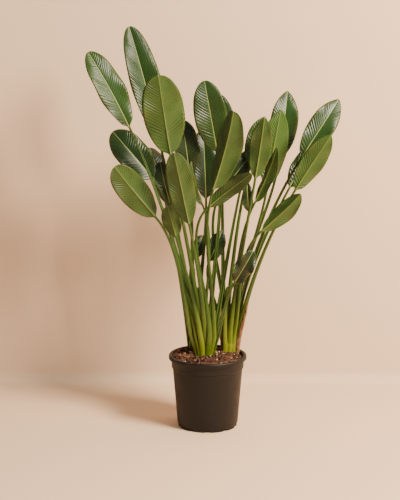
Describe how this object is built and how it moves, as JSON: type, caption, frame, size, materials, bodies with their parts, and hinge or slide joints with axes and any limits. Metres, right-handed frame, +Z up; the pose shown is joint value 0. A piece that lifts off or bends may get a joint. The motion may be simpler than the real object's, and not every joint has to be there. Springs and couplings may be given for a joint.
{
  "type": "potted bird of paradise plant",
  "caption": "Bird of paradise house plant with fans of long-stalked paddle leaves, standing in a round nursery pot of bark-topped soil.",
  "frame": {"origin": "centre of the pot's underside", "axes": "+Z up, -Y to the front"},
  "size_m": [0.7625, 0.3619, 1.2155],
  "materials": {
    "pot_plastic": "moulded, matt",
    "potting_soil": "damp, crumbly",
    "bark": "rough chips",
    "sheath": "smooth, fleshy",
    "leaf": "waxy, satin",
    "dry_leaf": "papery"
  },
  "bodies": {
    "root": {"pot": "pot_plastic", "root_ball": "potting_soil", "bark_mulch": "bark", "crown_front": "sheath", "crown_right": "sheath", "crown_back": "sheath", "leaf_01": "leaf", "leaf_02": "leaf", "leaf_03": "leaf", "leaf_04": "leaf", "leaf_05": "leaf", "leaf_06": "leaf", "leaf_07": "leaf", "leaf_08": "leaf", "leaf_09": "leaf", "leaf_10": "leaf", "leaf_11": "leaf", "leaf_12": "leaf", "leaf_13": "leaf", "leaf_14": "leaf", "leaf_15": "leaf", "leaf_16": "leaf", "leaf_17": "leaf", "leaf_18": "leaf", "leaf_19": "leaf", "leaf_20": "leaf", "leaf_21": "leaf", "leaf_22": "leaf", "leaf_23": "leaf", "leaf_24": "leaf", "leaf_25": "leaf", "leaf_26": "leaf", "leaf_27": "leaf", "leaf_28": "leaf", "leaf_29": "leaf", "leaf_30": "leaf", "cut_stub_1": "sheath", "cut_stub_2": "sheath", "cut_stub_3": "sheath", "dry_sheath_1": "dry_leaf", "dry_sheath_2": "dry_leaf"}
  },
  "joints": []
}
